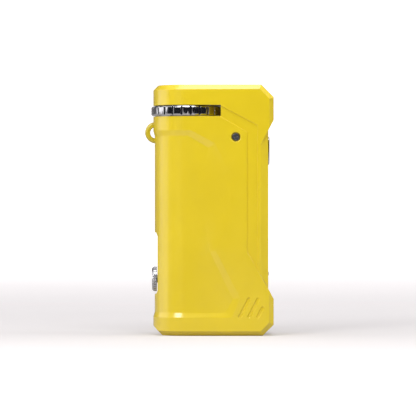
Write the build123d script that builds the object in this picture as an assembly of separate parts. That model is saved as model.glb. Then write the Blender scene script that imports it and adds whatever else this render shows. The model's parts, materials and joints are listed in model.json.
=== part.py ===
from build123d import *
import math
import os

os.makedirs("parts", exist_ok=True)

# A hand-held battery box for threaded cartridges, upright, in millimetres.
# X runs across the front face to the right, Y from front to back, Z up.
# The origin is the middle of the bottom face.

# ---------------------------------------------------------------- body
body_width = 38.0
body_depth = 21.0
body_height = 79.0
wall = 1.4
edge_bevel = 1.5
top_corner_cut = 3.9
bottom_corner_cut = 3.5
round_corner_cut = 3.0

left_x = -body_width / 2
right_x = body_width / 2
front_y = -body_depth / 2
half_depth = body_depth / 2
chamber_x = left_x + half_depth

# Recess down the control side.
side_recess = 1.7
side_recess_top = body_height - 11.15
side_recess_bottom = 11.6
side_slope = 1.9
side_bevel_wide = 2.7
side_bevel_deep = 1.5
side_x = right_x - side_recess
side_inner_x = side_x - wall

# Grip recess round the chamber side.
grip_depth = 0.45
grip_top = body_height - 14.4
grip_bottom = 5.75
grip_ramp = 1.65

# Raised middle panel, the channel beside it and the lower face beyond the channel.
channel_depth = 0.35
channel_left = right_x - 8.4
channel_right = right_x - 5.05
channel_top = side_recess_top - 1.65
channel_arm = side_recess_top - 3.85
panel_foot = side_recess_bottom + 15.0
panel_tip = side_recess_bottom - 1.8
face_lean = 0.3

# Slanted finger grooves near the front's bottom corner; the last one is short.
groove_places = (10.65, 7.75, 4.95)
groove_foot = 6.1
groove_head = 11.5
groove_short_head = 8.75
groove_slant = 0.51
groove_depth = 0.35
groove_width = 1.15
groove_floor_width = 0.6

# How far the hand grip runs onto the faces, from the chamber's middle.
grip_reach = 14.0
grip_tail = 17.0

# ---------------------------------------------------------------- iris
slot_height = 3.5
slot_floor = body_height - 9.9
slot_roof = slot_floor + slot_height
slot_web = 1.2
slot_gap = 0.275
wheel_stand_out = 0.65
wheel_rim = 1.25
wheel_teeth = 24
wheel_bevel = 0.4
tooth_gap = 0.42
wheel_height = slot_height - 2 * slot_gap
slot_reach = half_depth + 0.35
wheel_radius = half_depth + wheel_stand_out
rim_inner = wheel_radius - wheel_rim
running_gap = 0.05
plate_thick = 1.3
leaf_gap = 0.15
leaf_thick = 0.8
leaf_count = 3
leaf_width = 1.4
leaf_span = 76
leaf_swing = 15
wheel_turn = 45
pivot_pin = 0.5
pivot_inset = 0.5
drive_pin = 0.35
drive_wall = 0.2
drive_angle = 12
drive_slot_gap = 0.25

# Chamber and carriage.
tube_wall = 1.0
tube_radius = rim_inner - 2.7
tube_outer = tube_radius + tube_wall
leaf_inner = tube_radius + 0.15
leaf_outer = leaf_inner + leaf_width
seat_gap = 0.05
deck_bottom = 8.5
deck_thick = 1.2
deck_top = deck_bottom + deck_thick
carriage_gap = 0.08
carriage_low = 12.9
carriage_height = 9.0
carriage_travel = 10.0
carriage_radius = tube_radius - carriage_gap

thread_radius = 3.25
thread_depth = 4.0
relief_depth = 2.1
relief = 0.25
socket_wall = 1.2
socket_flange = 0.8
socket_step = 1.2
contact_radius = 1.0
contact_travel = 0.6
contact_head = 1.5
spring_wire = 0.26
spring_turns = 4
spring_length = 1.5

# Thumb knob in its track on the chamber side.
knob_radius = 3.9
knob_stand_out = 0.4
knob_gap = 0.36
knob_ribs = 30
knob_rise = 4.8
stem_radius = 1.2
track_gap = 0.35
stem_gap = 0.3
liner_gap = 0.06

# Controls on the right side.
button_length = 9.0
button_width = 6.4
button_gap = 0.2
button_stand_out = 0.5
button_travel = 0.4
button_flange = 0.7
button_flange_thick = 0.6
button_drop = 20.7
rocker_length = 10.6
rocker_width = 5.2
rocker_z = 19.4
rocker_ridge = 0.3
rocker_tilt = 2.5
rocker_pin_radius = 0.5
rocker_gap = 0.25
lug_thick = 1.2
lens_above_rocker = 2.8
lens_below_button = 5.3
lens_width = 9.2
lens_thick = 1.0
lens_ledge = 0.8
lens_gap = 0.05

# Board, battery and charging port.
board_thick = 1.0
board_width = 16.0
board_top = body_height - 15.0
control_depth = 2.5
switch_height = 1.1
frame_wall = 1.0
frame_gap = 0.4
shelf_drop = 21.1
foam_thick = 0.5
cell_gap = 0.3
tab_height = 1.5
port_length = 9.0
port_thick = 3.2
port_depth = 7.0
port_skin = 0.3
port_gap = 0.12
port_inset = 0.4
charge_board_thick = 0.8

# Screws and lanyard loop.
screw_radius = 0.8
screw_head = 1.15
screw_head_thick = 1.0
screw_sink = 0.35
screw_pocket = 1.4
pocket_rim = 0.2
post_radius = 2.1
front_screw = (right_x - 11.9, body_height - 16.5)
rear_screws = [
    (right_x - 7.5, body_height - 5.6),
    (right_x - 5.5, 5.6),
    (chamber_x + 0.5, 4.9),
]
loop_radius = 3.4
loop_hole = 1.8
loop_thick = 2.4
loop_drop = 14.9
loop_reach = 2.6
loop_bevel = 0.5

# Places that several pieces share.
board_face = side_inner_x - control_depth
board_back = board_face - board_thick
frame_x = chamber_x + tube_outer + frame_gap
shelf_z = body_height - shelf_drop
inner_half = half_depth - wall
button_z = body_height - button_drop
lens_low = rocker_z + rocker_length / 2 + lens_above_rocker
lens_high = button_z - button_length / 2 - lens_below_button
lens_length = lens_high - lens_low
lens_z = (lens_low + lens_high) / 2
knob_z = carriage_low + knob_rise
knob_face_x = left_x - knob_stand_out
knob_back_x = chamber_x - inner_half + liner_gap - knob_gap
rocker_axis_x = side_inner_x - 0.55
carriage_top = carriage_low + carriage_height
plate_top = slot_floor + plate_thick
leaf_bottom = plate_top + leaf_gap
leaf_top = leaf_bottom + leaf_thick
flange_bottom = leaf_top + leaf_gap
wheel_bottom = slot_floor + slot_gap
wheel_top = wheel_bottom + wheel_height
pivot_radius = leaf_outer - pivot_inset
drive_radius = rim_inner - drive_pin - drive_wall - 0.15
port_x = right_x - 13.0


# ---------------------------------------------------------------- helpers
def across(points, y_from, y_to):
    """Prism with an outline in X and Z that runs along Y."""
    face = Plane.XZ.offset(-y_to) * Polygon(*points, align=None)
    return extrude(face, amount=y_to - y_from, dir=(0, -1, 0))


def block(x, y, z):
    """Box given by its lowest and highest X, Y and Z."""
    size = (x[1] - x[0], y[1] - y[0], z[1] - z[0])
    return Pos(x[0], y[0], z[0]) * Box(*size, align=(Align.MIN, Align.MIN, Align.MIN))


def rod(x, y, z_from, z_to, radius):
    """Upright cylinder."""
    low = (Align.CENTER, Align.CENTER, Align.MIN)
    return Pos(x, y, z_from) * Cylinder(radius, z_to - z_from, align=low)


def rod_y(x, z, y_from, y_to, radius):
    """Cylinder that runs from front to back."""
    low = (Align.CENTER, Align.CENTER, Align.MIN)
    return Pos(x, y_to, z) * Rot(90, 0, 0) * Cylinder(radius, y_to - y_from, align=low)


def rod_x(y, z, x_from, x_to, radius):
    """Cylinder that runs across."""
    low = (Align.CENTER, Align.CENTER, Align.MIN)
    return Pos(x_from, y, z) * Rot(0, 90, 0) * Cylinder(radius, x_to - x_from, align=low)


def ring(z_from, z_to, inner, outer):
    """Upright ring about the chamber."""
    hole = rod(chamber_x, 0, z_from - 1, z_to + 1, inner)
    return rod(chamber_x, 0, z_from, z_to, outer) - hole


def turned(points):
    """Solid turned about the chamber, from points of radius and height."""
    face = Plane.XZ * Polygon(*points, align=None)
    return Pos(chamber_x, 0, 0) * revolve(face, Axis.Z)


def both_faces(tool):
    """A tool on the front face and its twin on the back face."""
    return [tool, mirror(tool, about=Plane.XZ)]


def pad_x(y, z, x_from, x_to, width, length, corner):
    """Rounded pad on the control side, width along Y and length along Z."""
    face = Plane.YZ.offset(x_from) * (Pos(y, z) * RectangleRounded(width, length, corner))
    return extrude(face, amount=x_to - x_from)


def chamber_point(radius, degrees):
    """Place at a radius and an angle about the chamber."""
    turn = math.radians(degrees)
    return chamber_x + radius * math.cos(turn), radius * math.sin(turn)


def save(name, shape):
    """Write one piece as its own STEP file."""
    solids = shape.solids()
    if len(solids) == 1:
        whole = solids[0]
    else:
        whole = Compound(children=list(solids))
    whole.label = name
    export_step(whole, os.path.join("parts", name + ".step"))


# ---------------------------------------------------------------- casing
def section(inset, end_x):
    """Cross-section: a half-round on the chamber side, square on the control side."""
    radius = half_depth - inset
    length = end_x - chamber_x
    square = Pos(chamber_x + length / 2, 0) * Rectangle(length, 2 * radius)
    return Pos(chamber_x, 0) * Circle(radius) + square


def beveled_block():
    """The plain outer block with its corners cut and its face edges bevelled."""
    solid = extrude(section(0, right_x), amount=body_height)
    past = right_x + 1
    top = [
        (past, body_height + 1),
        (right_x - top_corner_cut - 1, body_height + 1),
        (past, body_height - top_corner_cut - 1),
    ]
    bottom = [
        (past, -1),
        (right_x - bottom_corner_cut - 1, -1),
        (past, bottom_corner_cut + 1),
    ]
    for corner in (top, bottom):
        solid -= across(corner, -body_depth, body_depth)
    chosen = []
    for edge in solid.edges():
        middle = edge.center()
        on_face = abs(abs(middle.Y) - half_depth) < 1e-4
        seam = abs(middle.X - chamber_x) < 1e-4 and abs(middle.Z - body_height / 2) < 1e-4
        if edge.geom_type == GeomType.CIRCLE or (on_face and not seam):
            chosen.append(edge)
    solid = chamfer(chosen, length=edge_bevel)
    heel = [
        (left_x - 1, -1),
        (left_x + round_corner_cut + 1, -1),
        (left_x - 1, round_corner_cut + 1),
    ]
    return solid - across(heel, -body_depth, body_depth)


def side_recess_tool():
    """Shallow recess down the control side, with the edge bevel running on inside it."""
    start_x = side_x - side_bevel_wide
    front = half_depth
    outline = [
        (start_x, -front - 0.001),
        (side_x, -front + side_bevel_deep),
        (side_x, front - side_bevel_deep),
        (start_x, front + 0.001),
        (start_x, front + 1),
        (right_x + 1, front + 1),
        (right_x + 1, -front - 1),
        (start_x, -front - 1),
    ]
    bar = extrude(Polygon(*outline, align=None), amount=body_height, dir=(0, 0, 1))
    deep = side_recess + side_bevel_wide
    slopes = [
        (right_x, side_recess_top),
        (right_x - deep, side_recess_top - deep * side_slope),
        (right_x - deep, side_recess_bottom + deep * side_slope),
        (right_x, side_recess_bottom),
        (right_x + 2, side_recess_bottom),
        (right_x + 2, side_recess_top),
    ]
    return bar & across(slopes, -body_depth, body_depth)


def grip_tools():
    """Hand grip: a shallow recess that wraps the half-round and fades out on the faces."""
    low, high = grip_bottom, grip_top
    floor_low, floor_high = low + 1.55, high - grip_ramp
    rim = [
        (chamber_x, high),
        (chamber_x + 1.4, high),
        (chamber_x + 9.2, high - 4.2),
        (chamber_x + grip_reach, high - 14),
        (chamber_x + grip_reach, high - 24.85),
        (chamber_x + 9.4, low + 21),
        (chamber_x + grip_tail, low + 6.2),
        (chamber_x + 14.3, low),
        (chamber_x, low),
    ]
    floor = [
        (chamber_x, floor_high),
        (chamber_x + 0.5, floor_high),
        (chamber_x + 7.0, high - 5.5),
        (chamber_x + 5.0, high - 14),
        (chamber_x + 5.0, high - 24.85),
        (chamber_x + 7.3, low + 21),
        (chamber_x + 14.5, low + 5.9),
        (chamber_x + 12.5, floor_low),
        (chamber_x, floor_low),
    ]
    rim_face = Plane.XZ.offset(half_depth) * Polygon(*rim, align=None)
    floor_face = Plane.XZ.offset(half_depth - grip_depth) * Polygon(*floor, align=None)
    hollow = loft([rim_face, floor_face], ruled=True)
    hollow += extrude(rim_face, amount=1, dir=(0, -1, 0))
    profile = [
        (half_depth - grip_depth, floor_low),
        (half_depth - grip_depth, floor_high),
        (half_depth, high),
        (half_depth + 2, high),
        (half_depth + 2, low),
        (half_depth, low),
    ]
    keep = block((left_x - 3, chamber_x), (-body_depth, body_depth), (0, body_height))
    return both_faces(hollow) + [turned(profile) & keep]


def lower_face_tool():
    """Shaving off the front above the wheel slot and beyond the panel, deeper to the right."""
    outline = [
        (chamber_x, slot_floor + 1),
        (chamber_x, body_height + 1),
        (right_x + 1, body_height + 1),
        (right_x + 1, panel_tip),
        (channel_left, panel_foot),
        (channel_left, channel_arm),
        (chamber_x + slot_reach, slot_floor + 1),
    ]
    size = 2 * body_height
    slab = Box(size, size, size, align=(Align.CENTER, Align.MAX, Align.CENTER))
    slab = Pos(chamber_x, front_y, 0) * Rot(0, 0, face_lean) * slab
    return slab & across(outline, -body_depth, 0)


def channel_tool():
    """The channel that runs on from the wheel slot and down beside the middle panel."""
    end_x = chamber_x + slot_reach - 0.1
    fall = (panel_foot - panel_tip) / (right_x + 1 - channel_left)
    outline = [
        (end_x, slot_roof - 0.25),
        (channel_right, channel_top),
        (channel_right, panel_foot - fall * (channel_right - channel_left)),
        (channel_left, panel_foot),
        (channel_left, channel_arm),
        (end_x, slot_floor - 0.2),
    ]
    return across(outline, front_y - 1, front_y + channel_depth)


def groove_tools():
    """The finger grooves, with walls that slope out to the face."""
    tools = []
    for place in groove_places:
        top = groove_short_head if place == groove_places[-1] else groove_head
        foot = (right_x - place, groove_foot)
        head = (foot[0] + groove_slant * (top - groove_foot), top)
        angle = math.degrees(math.atan2(head[1] - foot[1], head[0] - foot[0]))
        middle = ((foot[0] + head[0]) / 2, (foot[1] + head[1]) / 2)
        turn = Pos(*middle) * Rot(0, 0, angle)
        long = math.dist(foot, head)
        narrow = SlotCenterToCenter(long, groove_floor_width)
        wide = SlotCenterToCenter(long, groove_width)
        floor_face = Plane.XZ.offset(half_depth - groove_depth) * turn * narrow
        rim_face = Plane.XZ.offset(half_depth) * turn * wide
        groove = loft([floor_face, rim_face], ruled=True) + extrude(rim_face, amount=1, dir=(0, -1, 0))
        tools.append(groove)
    return tools


def cavity():
    """The hollow inside the casing, below the wheel and up beside it."""
    main = extrude(section(wall, side_inner_x), amount=slot_floor - slot_web - wall)
    main = Pos(0, 0, wall) * main
    foot = [
        (right_x + 1, 0),
        (right_x - bottom_corner_cut - wall, 0),
        (right_x - bottom_corner_cut - wall, wall),
        (right_x + 1, bottom_corner_cut + wall + 4.6),
    ]
    main -= across(foot, -body_depth, body_depth)
    inner_x = chamber_x + wheel_radius + wall
    outer_x = right_x - top_corner_cut - 1.1
    height = (slot_floor - slot_web - 1, body_height - wall - 0.2)
    return [main, block((inner_x, outer_x), (-inner_half, inner_half), height)]


def post(place, y_from, y_to):
    """Screw post between a casing face and the split plane."""
    return rod_y(place[0], place[1], y_from, y_to, post_radius)


def screw_hole(place, side):
    """Clearance hole on the head side, pilot hole beyond the split, and the head pocket."""
    face = side * half_depth
    pocket = side * (half_depth - screw_sink - screw_head_thick)
    far = -side * (half_depth - wall - 1.5)
    low, high = sorted((pocket, face + side))
    tools = [rod_y(place[0], place[1], low, high, screw_pocket)]
    rim = Cone(screw_pocket, screw_pocket + 2 * pocket_rim, 2 * pocket_rim)
    tools.append(Pos(place[0], face, place[1]) * Rot(-90 * side, 0, 0) * rim)
    low, high = sorted((0, pocket))
    tools.append(rod_y(place[0], place[1], low, high, screw_radius + 0.15))
    low, high = sorted((0, far))
    tools.append(rod_y(place[0], place[1], low, high, screw_radius))
    return tools


def loop_ring():
    """Lanyard eye whose two ends are held in the casing wall at the split."""
    centre_x = left_x - loop_reach + loop_radius
    centre_z = body_height - loop_drop
    half = loop_thick / 2
    outer = rod_y(centre_x, centre_z, -half, half, loop_radius)
    outer = chamfer(outer.edges().filter_by(GeomType.CIRCLE), length=loop_bevel)
    eye = outer - rod_y(centre_x, centre_z, -half - 1, half + 1, loop_hole)
    keep = block((left_x - 9, left_x + wall - 0.2), (-half, half), (0, body_height))
    return eye & keep


def wheel_slot():
    """Slot for the wheel, open on the front, the back and the chamber side."""
    reach = (left_x - 1, chamber_x + slot_reach)
    cut = block(reach, (-body_depth, body_depth), (slot_floor, slot_roof))
    return [cut, rod(chamber_x, 0, slot_floor, slot_roof, wheel_radius + 0.3)]


def track_window():
    """Window in the casing wall that the thumb knob slides in."""
    half = knob_radius + track_gap
    low, high = knob_z - half - 0.5, knob_z + carriage_travel + half + 0.5
    points = [
        (-half + 1.2, low),
        (half - 1.2, low),
        (half, low + 1.2),
        (half, high - 1.2),
        (half - 1.2, high),
        (-half + 1.2, high),
        (-half, high - 1.2),
        (-half, low + 1.2),
    ]
    face = Plane.YZ.offset(left_x - 1) * Polygon(*points, align=None)
    return extrude(face, amount=half_depth * 0.6, dir=(1, 0, 0))


def control_openings():
    """Openings for the fire button, the rocker and the display window."""
    gap = 2 * button_gap
    tools = [
        pad_x(0, button_z, side_inner_x - 1, right_x + 1, button_width + gap, button_length + gap, 1.4),
        pad_x(
            0, rocker_z, side_inner_x - 1, right_x + 1,
            rocker_width + 2 * rocker_gap, rocker_length + 2 * rocker_gap, 1.0,
        ),
        pad_x(0, lens_z, side_x - lens_thick, right_x + 1, lens_width, lens_length, 1.2),
        pad_x(
            0, lens_z, side_inner_x - 1, right_x,
            lens_width - 2 * lens_ledge, lens_length - 2 * lens_ledge, 0.6,
        ),
    ]
    return tools


def rocker_lugs():
    """Two lugs inside the casing that hold the rocker's pin."""
    lugs = []
    start = rocker_width / 2 + rocker_gap
    for side in (-1, 1):
        low, high = sorted((side * start, side * (start + lug_thick)))
        height = (rocker_z - 1.2, rocker_z + 1.2)
        lugs.append(block((rocker_axis_x - 0.9, side_inner_x + 0.01), (low, high), height))
    return lugs


def casing():
    """Both casing halves in one, before the split."""
    solid = beveled_block()
    for tool in grip_tools() + [side_recess_tool()] + groove_tools():
        solid -= tool
    for tool in both_faces(lower_face_tool()) + both_faces(channel_tool()):
        solid -= tool
    for tool in cavity():
        solid -= tool
    for place in [front_screw] + rear_screws:
        solid += post(place, -inner_half - 0.05, inner_half + 0.05)
    for lug in rocker_lugs():
        solid += lug
    for tool in wheel_slot() + [track_window()] + control_openings():
        solid -= tool
    pin = rocker_width / 2 + rocker_gap + lug_thick + 1
    solid -= rod_y(rocker_axis_x, rocker_z, -pin, pin, rocker_pin_radius + 0.02)
    solid -= rod(chamber_x, 0, slot_floor - slot_web - 1, slot_floor + 1, tube_outer + seat_gap)
    solid -= rod(chamber_x, 0, slot_roof - 1, body_height + 1, tube_outer + seat_gap)
    solid -= port_block(port_gap, -1, port_depth + port_inset + port_gap)
    solid -= loop_ring()
    for tool in screw_hole(front_screw, -1):
        solid -= tool
    for place in rear_screws:
        for tool in screw_hole(place, 1):
            solid -= tool
    return solid


def casing_half(solid, side):
    """Front half for side -1, rear half for side 1."""
    low, high = sorted((0, side * body_depth))
    half = solid & block((left_x - 5, right_x + 5), (low, high), (-1, body_height + 1))
    parts = sorted(half.solids(), key=lambda one: one.volume)
    return parts[-1]


# ---------------------------------------------------------------- iris pieces
def top_collar():
    """Metal ring that lines the chamber's mouth."""
    low = slot_roof + 0.1
    return turned(
        [
            (tube_radius + 0.1, low),
            (tube_outer, low),
            (tube_outer, body_height - 0.05),
            (tube_radius + 0.5, body_height - 0.05),
            (tube_radius + 0.1, body_height - 0.45),
        ]
    )


def chamber_tube():
    """Tube that the cartridge stands in, slotted for the knob's stem."""
    tube = ring(deck_top, slot_floor, tube_radius, tube_outer)
    return tube - stem_slot(stem_radius + stem_gap)


def stem_slot(half):
    """Upright slot on the chamber side for the knob's stem, over its whole travel."""
    low, high = knob_z - half, knob_z + carriage_travel + half
    return block((left_x - 1, chamber_x - 2), (-half, half), (low, high))


def track_liner():
    """Curved strip behind the knob's window, between the casing and the tube."""
    low = knob_z - knob_radius - track_gap - 2.2
    high = knob_z + carriage_travel + knob_radius + track_gap + 2.2
    sleeve = ring(low, high, tube_outer + liner_gap, inner_half - liner_gap)
    keep = block((left_x - 1, chamber_x - 6.4), (-half_depth, half_depth), (low, high))
    return (sleeve & keep) - stem_slot(stem_radius + stem_gap)


def iris_guide_plate():
    """Fixed disc that the wheel turns on, with the leaves' pivot pins."""
    plate = ring(slot_floor, plate_top, tube_radius + 0.1, rim_inner - running_gap)
    for number in range(leaf_count):
        x, y = chamber_point(pivot_radius, number * 360 / leaf_count)
        plate += rod(x, y, plate_top - 0.2, leaf_top, pivot_pin)
    return plate


def drive_place(share):
    """Drive pin in the wheel's own frame, part of the way through its turn."""
    swing = math.radians(leaf_swing * share)
    start = math.radians(drive_angle)
    off_x = drive_radius * math.cos(start) - pivot_radius
    off_y = drive_radius * math.sin(start)
    x = pivot_radius + off_x * math.cos(swing) - off_y * math.sin(swing)
    y = off_x * math.sin(swing) + off_y * math.cos(swing)
    back = -math.radians(wheel_turn * share)
    return x * math.cos(back) - y * math.sin(back), x * math.sin(back) + y * math.cos(back)


def drive_slot():
    """Curved slot in the wheel's flange that steers one leaf's drive pin."""
    half = drive_pin + drive_slot_gap
    places = [drive_place(step / 6) for step in range(7)]
    inner, outer = [], []
    for x, y in places:
        radius = math.hypot(x, y)
        inner.append((x * (radius - half) / radius, y * (radius - half) / radius))
        outer.append((x * (radius + half) / radius, y * (radius + half) / radius))
    edges = Spline(*inner) + Line(inner[-1], outer[-1]) + Spline(*outer) + Line(outer[0], inner[0])
    slot = extrude(make_face(edges), amount=wheel_height, dir=(0, 0, 1))
    for x, y in (places[0], places[-1]):
        slot += Pos(x, y, wheel_height / 2) * Cylinder(half, wheel_height)
    return Pos(chamber_x, 0, flange_bottom - 0.1) * slot


def iris_wheel():
    """Toothed wheel: a rim in the slot and a thin flange with three steering slots."""
    cut = wheel_bevel
    wheel = turned(
        [
            (rim_inner, wheel_bottom),
            (wheel_radius - cut, wheel_bottom),
            (wheel_radius, wheel_bottom + cut),
            (wheel_radius, wheel_top - cut),
            (wheel_radius - cut, wheel_top),
            (leaf_inner, wheel_top),
            (leaf_inner, flange_bottom),
            (rim_inner, flange_bottom),
        ]
    )
    for number in range(wheel_teeth):
        x, y = chamber_point(wheel_radius + 0.06, (number + 0.5) * 360 / wheel_teeth)
        wheel -= rod(x, y, wheel_bottom - 1, wheel_top + 1, tooth_gap)
    slot = drive_slot()
    for number in range(leaf_count):
        turn = Pos(chamber_x, 0, 0) * Rot(0, 0, number * 360 / leaf_count) * Pos(-chamber_x, 0, 0)
        wheel -= turn * slot
    return wheel


def iris_leaf(number):
    """Crescent leaf that swings in on its pivot pin and clamps the cartridge."""
    band = ring(leaf_bottom, leaf_top, leaf_inner, leaf_outer)
    tip_x, tip_y = chamber_point(2 * leaf_outer, leaf_span)
    mid_x, mid_y = chamber_point(2 * leaf_outer, leaf_span / 2)
    corners = [(chamber_x, 0), (chamber_x + 2 * leaf_outer, 0), (mid_x, mid_y), (tip_x, tip_y)]
    wedge = Polygon(*corners, align=None)
    leaf = band & (Pos(0, 0, leaf_bottom) * extrude(wedge, amount=leaf_thick, dir=(0, 0, 1)))
    pivot_x, pivot_y = chamber_point(pivot_radius, 0)
    pin_x, pin_y = chamber_point(drive_radius, drive_angle)
    ear = drive_pin + drive_wall
    leaf += rod(pivot_x, pivot_y, leaf_bottom, leaf_top, pivot_pin + 0.45)
    leaf += rod(pin_x, pin_y, leaf_bottom, leaf_top, ear)
    end_x, end_y = chamber_point((leaf_inner + leaf_outer) / 2, leaf_span)
    leaf += rod(end_x, end_y, leaf_bottom, leaf_top, leaf_width / 2)
    leaf -= rod(pivot_x, pivot_y, leaf_bottom - 1, leaf_top + 1, pivot_pin + running_gap)
    leaf += rod(pin_x, pin_y, leaf_top - 0.1, wheel_top - 0.1, drive_pin)
    turn = Pos(chamber_x, 0, 0) * Rot(0, 0, number * 360 / leaf_count) * Pos(-chamber_x, 0, 0)
    return turn * leaf


# ---------------------------------------------------------------- carriage pieces
socket_outer = thread_radius + socket_wall
socket_top = carriage_top + socket_flange
thread_end = socket_top - thread_depth
shoulder = thread_end - relief_depth
socket_bottom = shoulder - socket_step
insulator_radius = thread_radius - 0.85
spring_floor = carriage_low + 0.7
spring_top = spring_floor + spring_length
insulator_top = shoulder + 0.5
flange_radius = carriage_radius - 0.9


def socket_carriage():
    """Piston that carries the threaded socket up and down the chamber."""
    body = rod(chamber_x, 0, carriage_low, carriage_top, carriage_radius)
    body = chamfer(body.edges().filter_by(GeomType.CIRCLE), length=0.4)
    body -= rod(chamber_x, 0, socket_bottom, carriage_top + 1, socket_outer)
    body -= rod(chamber_x, 0, spring_floor, carriage_top, contact_head + 0.9)
    body -= rod(chamber_x, 0, carriage_low - 1, spring_floor + 1, contact_radius * 0.6)
    body -= rod_x(0, knob_z, left_x, chamber_x - socket_outer - 0.4, stem_radius + running_gap)
    return body


def socket_shell():
    """Threaded steel socket with a flange on the carriage's top."""
    return turned(
        [
            (insulator_radius, socket_bottom),
            (socket_outer, socket_bottom),
            (socket_outer, carriage_top),
            (flange_radius, carriage_top),
            (flange_radius, socket_top - 0.25),
            (flange_radius - 0.25, socket_top),
            (thread_radius + 0.3, socket_top),
            (thread_radius, socket_top - 0.3),
            (thread_radius, thread_end),
            (thread_radius + relief, thread_end),
            (thread_radius + relief, shoulder),
            (insulator_radius, shoulder),
        ]
    )


def socket_insulator():
    """Plastic bush between the socket and the centre contact."""
    return turned(
        [
            (contact_radius + 0.05, socket_bottom),
            (insulator_radius, socket_bottom),
            (insulator_radius, shoulder),
            (thread_radius - 0.2, shoulder),
            (thread_radius - 0.2, insulator_top),
            (contact_radius + 0.05, insulator_top),
        ]
    )


def center_pin():
    """Sprung centre contact with a domed head."""
    head_low = insulator_top + contact_travel + 0.2
    return turned(
        [
            (0, spring_top),
            (contact_radius, spring_top),
            (contact_radius, head_low),
            (contact_head, head_low),
            (contact_head, head_low + 0.5),
            (contact_head - 0.3, head_low + 0.7),
            (0, head_low + 0.7),
        ]
    )


def contact_spring():
    """Small coil spring under the centre contact."""
    rise = spring_length - 2 * spring_wire
    path = Helix(pitch=rise / spring_turns, height=rise, radius=contact_radius)
    wire = Plane(path @ 0, z_dir=path % 0) * Circle(spring_wire / 2)
    coil = sweep(wire, path=path)
    return Pos(chamber_x, 0, spring_floor + spring_wire) * coil


def height_knob():
    """Ribbed thumb knob with a domed edge and a coin slot."""
    face_x = knob_face_x
    knob = rod_x(0, knob_z, face_x, knob_back_x, knob_radius)
    outer_edge = knob.edges().filter_by(GeomType.CIRCLE).sort_by(Axis.X)[0]
    knob = chamfer(outer_edge, length=0.5)
    for number in range(knob_ribs):
        angle = math.radians(number * 360 / knob_ribs)
        y = knob_radius * math.cos(angle)
        z = knob_z + knob_radius * math.sin(angle)
        knob -= rod_x(y, z, face_x - 1, knob_back_x + 1, 0.22)
    knob -= block((face_x - 1, face_x + 0.5), (-2.4, 2.4), (knob_z - 0.4, knob_z + 0.4))
    return knob


def knob_stem():
    """Clamp screw of the thumb knob, through the slot into the carriage."""
    return rod_x(0, knob_z, knob_back_x, chamber_x - socket_outer - 0.5, stem_radius)


# ---------------------------------------------------------------- controls
def fire_button():
    """Fire button with a crowned face and a flange behind the wall."""
    face_x = side_x + button_stand_out
    button = pad_x(0, button_z, side_inner_x - 0.8, face_x, button_width, button_length, 1.2)
    front = button.faces().sort_by(Axis.X)[-1]
    button = chamfer(front.edges(), length=0.35)
    flange_x = (side_inner_x - 0.2 - button_flange_thick, side_inner_x - 0.2)
    wide = button_width + 2 * button_flange
    long = button_length + 2 * button_flange
    button += pad_x(0, button_z, flange_x[0], flange_x[1], wide, long, 1.2)
    return button


def fire_plunger():
    """Switch plunger that travels with the fire button."""
    end = side_inner_x - 0.2 - button_flange_thick
    return rod_x(0, button_z, board_face + 0.1 + button_travel, end, 0.8)


def fire_switch():
    """Switch housing under the fire button."""
    body = block((board_face, board_face + switch_height), (-2.4, 2.4), (button_z - 2.4, button_z + 2.4))
    return body - rod_x(0, button_z, board_face + 0.05, board_face + 2, 0.9)


def adjust_rocker():
    """Two-way rocker with a small ridge in the middle of its face."""
    low = side_inner_x - 0.95
    body = pad_x(0, rocker_z, low, side_x - 0.05, rocker_width, rocker_length, 0.8)
    front = body.faces().sort_by(Axis.X)[-1]
    body = chamfer(front.edges(), length=0.25)
    body += pad_x(0, rocker_z, side_x - 0.5, side_x + rocker_ridge, rocker_width - 1.6, 1.2, 0.3)
    body -= rod_y(rocker_axis_x, rocker_z, -rocker_width, rocker_width, rocker_pin_radius + running_gap)
    return body


def adjust_switches():
    """Two switch housings under the rocker's ends."""
    pair = []
    for side in (-1, 1):
        z = rocker_z + side * (rocker_length / 2 - 1.4)
        base = block((board_face, board_face + 0.7), (-1.6, 1.6), (z - 1.3, z + 1.3))
        pair.append(base + rod_x(0, z, board_face + 0.5, board_face + switch_height, 0.7))
    return Compound(children=pair)


def rocker_pin():
    """Steel pin that the rocker tilts on."""
    end = rocker_width / 2 + rocker_gap + lug_thick
    return rod_y(rocker_axis_x, rocker_z, -end, end, rocker_pin_radius)


def display_lens():
    """Window over the display, flush with the side."""
    wide = lens_width - 2 * lens_gap
    long = lens_length - 2 * lens_gap
    return pad_x(0, lens_z, side_x - lens_thick, side_x, wide, long, 1.15)


def display_module():
    """Display on the board behind its window."""
    half_y = lens_width / 2 + 0.6
    half_z = lens_length / 2 - 0.5
    return block((board_face, side_inner_x - 0.2), (-half_y, half_y), (lens_z - half_z, lens_z + half_z))


# ---------------------------------------------------------------- inside
def inner_frame():
    """Frame between the chamber and the battery, with a deck below and a shelf above."""
    half = inner_half - 0.02
    spine = block((frame_x, frame_x + frame_wall), (-half, half), (deck_bottom, shelf_z))
    shelf = block((frame_x, board_back), (-half, half), (shelf_z - frame_wall, shelf_z))
    deck = extrude(section(wall + 0.02, board_back), amount=deck_thick)
    frame = spine + shelf + Pos(0, 0, deck_bottom) * deck
    frame -= block((frame_x + 3, board_back - 2), (-3, 3), (shelf_z - 3, shelf_z + 1))
    frame -= rod(chamber_x, 0, deck_bottom - 1, deck_top + 1, 2.5)
    return frame


def cell_box():
    """Lowest and highest places of the battery cell."""
    x = (frame_x + frame_wall + foam_thick, board_back - cell_gap)
    y = (-inner_half + 0.6, inner_half - 0.6)
    z = (deck_top, shelf_z - frame_wall - tab_height - 0.5)
    return x, y, z


def battery_cell():
    """Flat battery with rounded upright edges."""
    x, y, z = cell_box()
    cell = block(x, y, z)
    return fillet(cell.edges().filter_by(Axis.Z), radius=min(1.8, (x[1] - x[0]) / 3))


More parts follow.
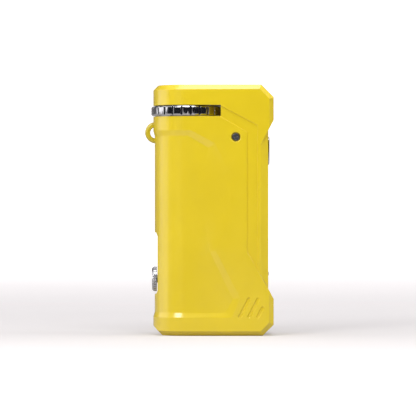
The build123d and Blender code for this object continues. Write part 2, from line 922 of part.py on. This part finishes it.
def battery_tabs():
    """Two nickel tabs on the battery's top."""
    x, y, z = cell_box()
    middle = (x[0] + x[1]) / 2
    tabs = []
    for side in (-1, 1):
        across_y = (side * 4 - 1.5, side * 4 + 1.5)
        tabs.append(block((middle - 0.1, middle + 0.1), across_y, (z[1], z[1] + tab_height)))
    return Compound(children=tabs)


def foam_pad():
    """Foam strip between the frame and the battery."""
    x, y, z = cell_box()
    return block((frame_x + frame_wall, x[0]), (-6, 6), (z[0] + 4, z[1] - 4))


def main_board():
    """Control board behind the buttons and the display."""
    half = board_width / 2
    return block((board_back, board_face), (-half, half), (deck_top + 0.2, board_top))


def board_chips():
    """Processor and power parts on the back of the board's top."""
    chips = []
    layout = [(-3.4, 3.0, 2.2, 0.9), (3.6, 2.2, 1.6, 0.8), (3.4, 4.8, 0.9, 0.9), (0.3, 3.0, 0.8, 1.2)]
    for y, drop, half, tall in layout:
        z = board_top - drop
        chips.append(block((board_back - tall, board_back), (y - half, y + half), (z - half, z + half)))
    return Compound(children=chips)


def port_block(grow, z_from, z_to):
    """Rounded outline of the charging port, grown by a clearance."""
    corner = port_thick / 2 + grow - 0.05
    outline = RectangleRounded(port_length + 2 * grow, port_thick + 2 * grow, corner)
    return Pos(port_x, 0, z_from) * extrude(outline, amount=z_to - z_from)


def usb_connector():
    """Metal shell of the charging port, closed at its inner end."""
    end = port_inset + port_depth
    return port_block(0, port_inset, end) - port_block(-port_skin, 0, end - 0.5)


def usb_tongue():
    """Contact tongue in the charging port."""
    height = (port_inset + 1.0, port_inset + port_depth - 0.5)
    return block((port_x - 3.3, port_x + 3.3), (-0.35, 0.35), height)


def charge_board():
    """Small board that carries the charging port under the deck."""
    y = (port_thick / 2, port_thick / 2 + charge_board_thick)
    return block((port_x - 5.2, port_x + 5.2), y, (wall + 0.4, deck_bottom))


def case_screw(place, side):
    """Machine screw with a cross recess in its head."""
    head_out = side * (half_depth - screw_sink)
    head_in = head_out - side * screw_head_thick
    tip = -side * (half_depth - wall - 2.0)
    low, high = sorted((head_in, head_out))
    screw = rod_y(place[0], place[1], low, high, screw_head)
    low, high = sorted((tip, head_in + side * 0.1))
    screw += rod_y(place[0], place[1], low, high, screw_radius - 0.02)
    low, high = sorted((head_out + side * 0.5, head_out - side * 0.5))
    for angle in (0, 90):
        arm = Box(1.5, high - low, 0.36)
        screw -= Pos(place[0], (low + high) / 2, place[1]) * Rot(0, angle, 0) * arm
    return screw


# ---------------------------------------------------------------- write
whole_casing = casing()
save("front_shell", casing_half(whole_casing, -1))
save("rear_shell", casing_half(whole_casing, 1))
save("lanyard_loop", loop_ring())
save("top_collar", top_collar())
save("chamber_tube", chamber_tube())
save("track_liner", track_liner())
save("iris_guide_plate", iris_guide_plate())
save("iris_wheel", iris_wheel())
for leaf_number in range(leaf_count):
    save("iris_leaf_" + str(leaf_number + 1), iris_leaf(leaf_number))
save("socket_carriage", socket_carriage())
save("socket_shell", socket_shell())
save("socket_insulator", socket_insulator())
save("center_pin", center_pin())
save("contact_spring", contact_spring())
save("height_knob", height_knob())
save("knob_stem", knob_stem())
save("fire_button", fire_button())
save("fire_plunger", fire_plunger())
save("fire_switch", fire_switch())
save("adjust_rocker", adjust_rocker())
save("adjust_switches", adjust_switches())
save("rocker_pin", rocker_pin())
save("display_lens", display_lens())
save("display_module", display_module())
save("inner_frame", inner_frame())
save("battery_cell", battery_cell())
save("battery_tabs", battery_tabs())
save("foam_pad", foam_pad())
save("main_board", main_board())
save("board_chips", board_chips())
save("usb_connector", usb_connector())
save("usb_tongue", usb_tongue())
save("charge_board", charge_board())
save("front_case_screw", case_screw(front_screw, -1))
save("rear_case_screws", Compound(children=[case_screw(place, 1) for place in rear_screws]))
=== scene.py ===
# A hand-held battery box for threaded cartridges: its looks, floor, lamps and camera, in metres.
import json
import math

import bmesh
import bpy
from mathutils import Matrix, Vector

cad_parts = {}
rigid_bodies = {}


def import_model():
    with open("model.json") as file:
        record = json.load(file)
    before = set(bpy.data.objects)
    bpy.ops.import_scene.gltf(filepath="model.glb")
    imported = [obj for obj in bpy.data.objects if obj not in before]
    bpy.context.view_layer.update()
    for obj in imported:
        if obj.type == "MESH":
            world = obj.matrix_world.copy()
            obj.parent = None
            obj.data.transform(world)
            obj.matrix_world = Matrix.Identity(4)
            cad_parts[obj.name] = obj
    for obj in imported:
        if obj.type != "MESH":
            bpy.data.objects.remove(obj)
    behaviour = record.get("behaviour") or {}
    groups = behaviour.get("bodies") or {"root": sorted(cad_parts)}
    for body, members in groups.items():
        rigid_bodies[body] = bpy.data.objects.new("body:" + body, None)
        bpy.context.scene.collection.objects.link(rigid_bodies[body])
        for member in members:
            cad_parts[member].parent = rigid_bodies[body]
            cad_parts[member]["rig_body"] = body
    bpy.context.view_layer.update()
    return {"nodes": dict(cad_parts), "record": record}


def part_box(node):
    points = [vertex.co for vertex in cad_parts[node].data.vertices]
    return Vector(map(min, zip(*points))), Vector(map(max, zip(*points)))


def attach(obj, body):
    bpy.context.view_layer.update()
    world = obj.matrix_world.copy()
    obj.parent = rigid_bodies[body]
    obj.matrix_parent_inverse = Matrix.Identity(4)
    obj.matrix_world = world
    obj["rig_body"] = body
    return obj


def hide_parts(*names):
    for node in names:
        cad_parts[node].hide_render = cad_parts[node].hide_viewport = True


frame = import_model()
nodes = frame["nodes"]

# Places that the frame gives, in metres.
front_low, front_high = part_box("front_shell")
height = front_high.z
middle_x = (front_low.x + front_high.x) / 2
centre = Vector((middle_x, 0, height / 2))

# Rounding of the CAD edges: vertices this near join, triangles this flat join, and only edges sharper
# than a limit are rounded. The distance is in metres and the angles are in degrees.
join_distance = 1e-7
flat_angle = 0.3
usual_limit = 28
shell_limit = 10.2


# ---------------------------------------------------------------- nodes of materials and the world
class Graph:
    """A node tree and a few short ways to add nodes to it."""

    def __init__(self, tree, coordinates):
        self.tree = tree
        self.place = self.add("ShaderNodeTexCoord").outputs[coordinates]

    def add(self, kind, **values):
        node = self.tree.nodes.new(kind)
        for key, value in values.items():
            setattr(node, key, value)
        return node

    def link(self, source, target):
        self.tree.links.new(source, target)

    def noise(self, scale, detail, stretch=(1, 1, 1)):
        """Noise whose scale is in features per metre."""
        mapping = self.add("ShaderNodeMapping")
        mapping.inputs["Scale"].default_value = stretch
        self.link(self.place, mapping.inputs["Vector"])
        node = self.add("ShaderNodeTexNoise")
        node.inputs["Scale"].default_value = scale
        node.inputs["Detail"].default_value = detail
        self.link(mapping.outputs["Vector"], node.inputs["Vector"])
        return node.outputs["Fac"]

    def span(self, source, low, high, to_low, to_high, shape="LINEAR"):
        """Maps a value from one range to another, clamped."""
        node = self.add("ShaderNodeMapRange", interpolation_type=shape)
        names = ("From Min", "From Max", "To Min", "To Max")
        for key, value in zip(names, (low, high, to_low, to_high)):
            node.inputs[key].default_value = value
        self.link(source, node.inputs["Value"])
        return node.outputs["Result"]

    def mix(self, factor, dark, light):
        """Blends two colours; each is a colour or another node's output."""
        node = self.add("ShaderNodeMix", data_type="RGBA")
        self.link(factor, node.inputs[0])
        for socket, value in ((node.inputs[6], dark), (node.inputs[7], light)):
            if isinstance(value, tuple):
                socket.default_value = (*value, 1)
            else:
                self.link(value, socket)
        return node.outputs[2]


class Surface(Graph):
    """A material's nodes and its shader."""

    def __init__(self, name):
        self.material = bpy.data.materials.new(name)
        self.material.use_nodes = True
        super().__init__(self.material.node_tree, "Object")
        self.shader = self.tree.nodes["Principled BSDF"]

    def set(self, **values):
        for key, value in values.items():
            self.shader.inputs[key.replace("_", " ")].default_value = value

    def bump(self, source, strength, distance):
        """Adds relief to the surface; distance is its height in metres."""
        node = self.add("ShaderNodeBump")
        node.inputs["Strength"].default_value = strength
        node.inputs["Distance"].default_value = distance
        self.link(source, node.inputs["Height"])
        self.link(node.outputs["Normal"], self.shader.inputs["Normal"])


def yellow_paint(name, dark, light):
    """Satin yellow paint with a fine orange peel and a faint uneven tone."""
    g = Surface(name)
    tone = g.mix(g.span(g.noise(60, 4), 0.35, 0.65, 0, 1), dark, light)
    g.link(tone, g.shader.inputs["Base Color"])
    g.link(g.span(g.noise(900, 2), 0.3, 0.7, 0.36, 0.46), g.shader.inputs["Roughness"])
    g.bump(g.noise(2600, 2), 0.10, 0.00004)
    g.set(Coat_Weight=0.9, Coat_Roughness=0.22, Coat_IOR=1.7, Specular_IOR_Level=0.35)
    return g.material


def polished_metal():
    """Bright plated metal with hairline polishing marks."""
    g = Surface("polished_metal")
    g.set(Metallic=1.0)
    tone = g.mix(g.span(g.noise(400, 3), 0.3, 0.7, 0, 1), (0.50, 0.50, 0.52), (0.62, 0.62, 0.64))
    g.link(tone, g.shader.inputs["Base Color"])
    g.link(g.span(g.noise(1500, 2), 0.3, 0.7, 0.06, 0.12), g.shader.inputs["Roughness"])
    g.bump(g.noise(900, 2, stretch=(1, 1, 10)), 0.02, 0.00002)
    return g.material


def brushed_metal(name, dark, light, rough=0.32):
    """Turned or brushed metal, with fine lines that lie flat."""
    brush_stretch = (1, 1, 20)
    g = Surface(name)
    g.set(Metallic=1.0)
    tone = g.mix(g.span(g.noise(300, 4, stretch=brush_stretch), 0.3, 0.7, 0, 1), dark, light)
    g.link(tone, g.shader.inputs["Base Color"])
    lines = g.noise(800, 2, stretch=brush_stretch)
    g.link(g.span(lines, 0.3, 0.7, rough - 0.06, rough + 0.08), g.shader.inputs["Roughness"])
    g.bump(g.noise(900, 2, stretch=brush_stretch), 0.12, 0.00003)
    return g.material


def moulded_plastic(name, colour, rough=0.5):
    """Moulded plastic with a fine spark texture."""
    g = Surface(name)
    lighter = tuple(min(1, c * 1.25 + 0.01) for c in colour)
    g.link(g.mix(g.span(g.noise(150, 3), 0.35, 0.65, 0, 1), colour, lighter), g.shader.inputs["Base Color"])
    g.link(g.span(g.noise(1200, 2), 0.3, 0.7, rough - 0.05, rough + 0.08), g.shader.inputs["Roughness"])
    g.bump(g.noise(4000, 2), 0.15, 0.00003)
    return g.material


materials = {
    "shell": yellow_paint("yellow_paint", (0.76, 0.565, 0.001), (0.80, 0.600, 0.003)),
    # The lanyard loop has the shell's yellow paint made darker: painted shade, since the loop is the same
    # paint lying in shade.
    "loop": yellow_paint("loop_paint_painted_shade", (0.52, 0.400, 0.001), (0.58, 0.450, 0.002)),
    "steel": polished_metal(),
    "brushed": brushed_metal("brushed_metal", (0.38, 0.38, 0.39), (0.50, 0.50, 0.51)),
    "dark_steel": brushed_metal("dark_steel", (0.22, 0.22, 0.215), (0.34, 0.34, 0.335), 0.26),
    "brass": brushed_metal("brass", (0.55, 0.38, 0.14), (0.68, 0.50, 0.22), 0.26),
    "nickel": brushed_metal("nickel", (0.48, 0.46, 0.42), (0.60, 0.58, 0.54), 0.26),
    "black": moulded_plastic("black_plastic", (0.012, 0.012, 0.013)),
    "white_plastic": moulded_plastic("white_plastic", (0.55, 0.55, 0.52)),
    "lens": moulded_plastic("lens_plastic", (0.004, 0.004, 0.005), 0.12),
    "board": moulded_plastic("board_resist", (0.010, 0.060, 0.026), 0.30),
    "cell": moulded_plastic("cell_wrap", (0.03, 0.10, 0.30), 0.35),
    "foam": moulded_plastic("foam", (0.02, 0.02, 0.02), 0.85),
}

slot_of = {row["node"]: row["material_slot"] for row in frame["record"]["subparts"]}
for name, obj in nodes.items():
    obj.data.materials.clear()
    obj.data.materials.append(materials[slot_of[name]])


# ---------------------------------------------------------------- softened pieces
def softened(node, width, limit=usual_limit, merge=True):
    """A copy of a CAD piece with rounded edges, which stands for it; merge joins flat triangles first."""
    source = nodes[node]
    work = bmesh.new()
    work.from_mesh(source.data)
    bmesh.ops.remove_doubles(work, verts=work.verts, dist=join_distance)
    if merge:
        flat = math.radians(flat_angle)
        bmesh.ops.dissolve_limit(work, angle_limit=flat, verts=work.verts, edges=work.edges)
    mesh = bpy.data.meshes.new(node + "_soft")
    work.to_mesh(mesh)
    work.free()
    mesh.materials.append(materials[slot_of[node]])
    piece = bpy.data.objects.new(node + "_soft", mesh)
    bpy.context.scene.collection.objects.link(piece)
    bevel = piece.modifiers.new("edges", "BEVEL")
    bevel.width = width
    bevel.segments = 2
    bevel.limit_method = "ANGLE"
    bevel.angle_limit = math.radians(limit)
    bevel.use_clamp_overlap = False
    bevel.loop_slide = False
    bevel.harden_normals = True
    mesh.shade_smooth()
    mesh.set_sharp_from_angle(angle=math.radians(limit))
    body = source["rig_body"]
    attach(piece, body)
    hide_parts(node)
    return piece


# How wide each visible piece's rounded edges are, in metres.
shell_edge = 0.00007
edge_widths = {
    "iris_wheel": 0.00006,
    "lanyard_loop": 0.0002,
    "height_knob": 0.00006,
    "knob_stem": 0.00008,
    "track_liner": 0.00006,
    "fire_button": 0.0001,
    "adjust_rocker": 0.00008,
    "display_lens": 0.0001,
    "front_case_screw": 0.00006,
    "rear_case_screws": 0.00006,
    "top_collar": 0.00008,
    "usb_connector": 0.00005,
    "usb_tongue": 0.00005,
    "socket_carriage": 0.00008,
    "socket_shell": 0.00005,
    "center_pin": 0.00005,
}
for node in ("front_shell", "rear_shell"):
    softened(node, shell_edge, limit=shell_limit, merge=False)
for node, width in edge_widths.items():
    softened(node, width)


# ---------------------------------------------------------------- studio
def floor():
    """Pale floor that curves up into a far back wall; it glows for the camera, dimmer near the object as
    painted shade, and is painted near black in front as painted shade for reflections.
    """
    half, front_edge, run, bend, top = 3.0, -3.0, 1.0, 0.6, 2.6
    steps = 12
    profile = [(front_edge, 0.0)]
    for step in range(steps + 1):
        angle = math.radians(step * 90 / steps)
        profile.append((run + bend * math.sin(angle), bend - bend * math.cos(angle)))
    profile.append((run + bend, top))
    mesh = bpy.data.meshes.new("floor")
    verts, faces = [], []
    for y, z in profile:
        verts += [(-half, y, z), (half, y, z)]
    for row in range(len(profile) - 1):
        start = 2 * row
        faces.append((start, start + 1, start + 3, start + 2))
    mesh.from_pydata(verts, [], faces)
    mesh.shade_smooth()
    obj = bpy.data.objects.new("floor", mesh)
    bpy.context.scene.collection.objects.link(obj)
    g = Surface("floor_card")
    parts = g.add("ShaderNodeSeparateXYZ")
    g.link(g.place, parts.inputs[0])
    away = g.add("ShaderNodeVectorMath", operation="LENGTH")
    g.link(g.place, away.inputs[0])
    tone = g.mix(g.span(g.noise(6, 3), 0.3, 0.7, 0, 1), (0.51, 0.49, 0.49), (0.55, 0.53, 0.53))
    # Painted shade: the floor's colour turns near black in front of the object, so it reflects and bounces
    # as a dark studio front.
    painted_shade_in_front = g.span(parts.outputs["Y"], -1.0, -0.5, 0, 1)
    g.link(g.mix(painted_shade_in_front, (0.02, 0.02, 0.02), tone), g.shader.inputs["Base Color"])
    # The floor glows for camera rays only, as a pale backdrop; the glow is dimmer near the object, which is
    # painted shade around it.
    seen = g.add("ShaderNodeLightPath").outputs["Is Camera Ray"]
    backdrop_glow_with_painted_shade = g.add("ShaderNodeMath", operation="MULTIPLY")
    g.link(g.span(away.outputs["Value"], 0.0, 1.0, 0.22, 0.95), backdrop_glow_with_painted_shade.inputs[0])
    g.link(seen, backdrop_glow_with_painted_shade.inputs[1])
    g.link(backdrop_glow_with_painted_shade.outputs["Value"], g.shader.inputs["Emission Strength"])
    g.set(Roughness=0.9, Emission_Color=(1, 0.97, 0.98, 1))
    mesh.materials.append(g.material)


def area_light(name, offset, size, power):
    """Soft square lamp that points at the middle of the object, from an offset."""
    data = bpy.data.lights.new(name, "AREA")
    data.shape = "SQUARE"
    data.size = size
    data.energy = power
    obj = bpy.data.objects.new(name, data)
    obj.location = centre + offset
    obj.rotation_euler = (-offset).to_track_quat("-Z", "Y").to_euler()
    obj.visible_camera = False
    bpy.context.scene.collection.objects.link(obj)


def world():
    """Pale backdrop that lights the object from the left, above and behind; dark in front."""
    shell = bpy.data.worlds.new("studio")
    bpy.context.scene.world = shell
    shell.use_nodes = True
    g = Graph(shell.node_tree, "Generated")
    back = g.tree.nodes["Background"]
    back.inputs["Strength"].default_value = 1.0

    def toward(direction, start, end):
        """Grows smoothly from 0 to 1 as a ray turns toward a direction."""
        node = g.add("ShaderNodeVectorMath", operation="DOT_PRODUCT")
        g.link(g.place, node.inputs[0])
        node.inputs[1].default_value = direction
        return g.span(node.outputs["Value"], start, end, 0, 1, "SMOOTHSTEP")

    left_behind = (-0.375, 0.927, 0)
    around = g.mix(toward(left_behind, -0.12, 0.12), (0.015, 0.016, 0.022), (1.6, 1.57, 1.6))
    above = g.mix(toward((0, 0, 1), 0.35, 0.75), around, (0.55, 0.54, 0.55))
    seen = g.add("ShaderNodeLightPath").outputs["Is Camera Ray"]
    g.link(g.mix(seen, above, (1.0, 0.99, 0.99)), back.inputs["Color"])


def camera():
    """Straight at the front face, as far off as a hand-held close shot."""
    distance = 0.9
    field = 0.1321
    left_shift = 0.00165
    rise = 0.0007
    data = bpy.data.cameras.new("camera")
    data.sensor_width = 36
    data.lens = distance * data.sensor_width / field
    obj = bpy.data.objects.new("camera", data)
    obj.location = (middle_x - left_shift, -distance, height / 2 + rise)
    obj.rotation_euler = (math.radians(90), 0, 0)
    bpy.context.scene.collection.objects.link(obj)
    bpy.context.scene.camera = obj


camera()
floor()
world()
area_light("key", 0.55 * Vector((-0.45, -0.73, 0.50)), size=0.2, power=1.35)
area_light("front", Vector((0.05, -0.24, 0.30)), size=0.15, power=0.48)
area_light("overhead", Vector((0, -0.1, 1.0)), size=0.5, power=2.6)
area_light("side", Vector((1.0, -0.2, 0.45)), size=0.5, power=3.4)
bpy.context.scene.view_settings.view_transform = "Standard"
